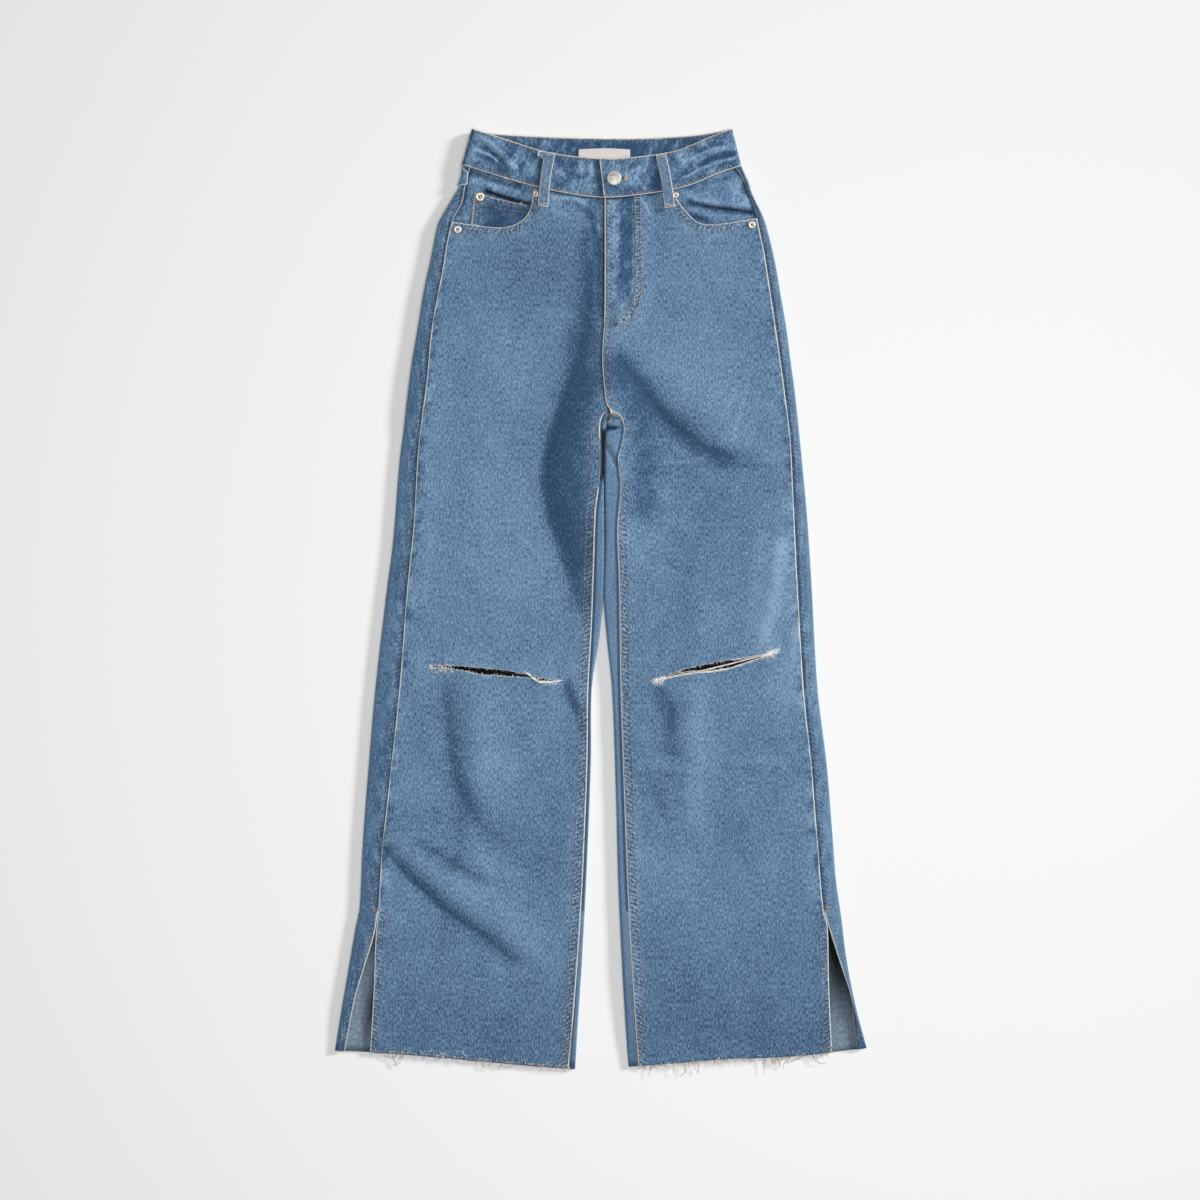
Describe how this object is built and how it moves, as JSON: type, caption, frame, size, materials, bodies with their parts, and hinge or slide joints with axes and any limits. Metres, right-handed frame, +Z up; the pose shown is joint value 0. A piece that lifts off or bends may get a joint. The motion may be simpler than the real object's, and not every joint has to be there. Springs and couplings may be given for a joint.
{
  "type": "ripped jeans",
  "caption": "Wide straight-leg blue denim jeans laid flat, front up, with knee rips and split raw hems.",
  "frame": {"origin": "middle of the garment's box at the surface it lies on", "axes": "+Y along the garment towards the waistband, +Z up out of the front, the wearer's right leg at -X"},
  "size_m": [0.6216, 1.098, 0.014],
  "materials": {
    "denim": "washed mid-blue cotton denim, right-hand twill, edges abraded to ivory at the seams",
    "denim_facing": "the same denim, less washed inside the pocket mouths",
    "label_cloth": "bare off-white woven label",
    "button_metal": "brushed, slightly mottled old silver",
    "rivet_metal": "pale silver cap with a copper nub",
    "thread": "tan and ivory cotton topstitching, orange-gold bartacks, ivory frays"
  },
  "bodies": {
    "root": {"front_right": "denim", "front_left": "denim", "pocket_facing_right": "denim_facing", "pocket_facing_left": "denim_facing", "coin_pocket": "denim_facing", "back_right": "denim", "back_left": "denim", "yoke_right": "denim", "yoke_left": "denim", "back_pocket_right": "denim", "back_pocket_left": "denim", "waistband": "denim", "waist_label": "label_cloth", "belt_loop_front_right": "denim", "belt_loop_front_left": "denim", "belt_loop_side_right": "denim", "belt_loop_side_left": "denim", "belt_loop_centre_back": "denim", "button": "button_metal", "rivet_right_outer": "rivet_metal", "rivet_right_inner": "rivet_metal", "rivet_left_inner": "rivet_metal", "rivet_left_outer": "rivet_metal", "rivet_coin_pocket": "rivet_metal"}
  },
  "joints": []
}
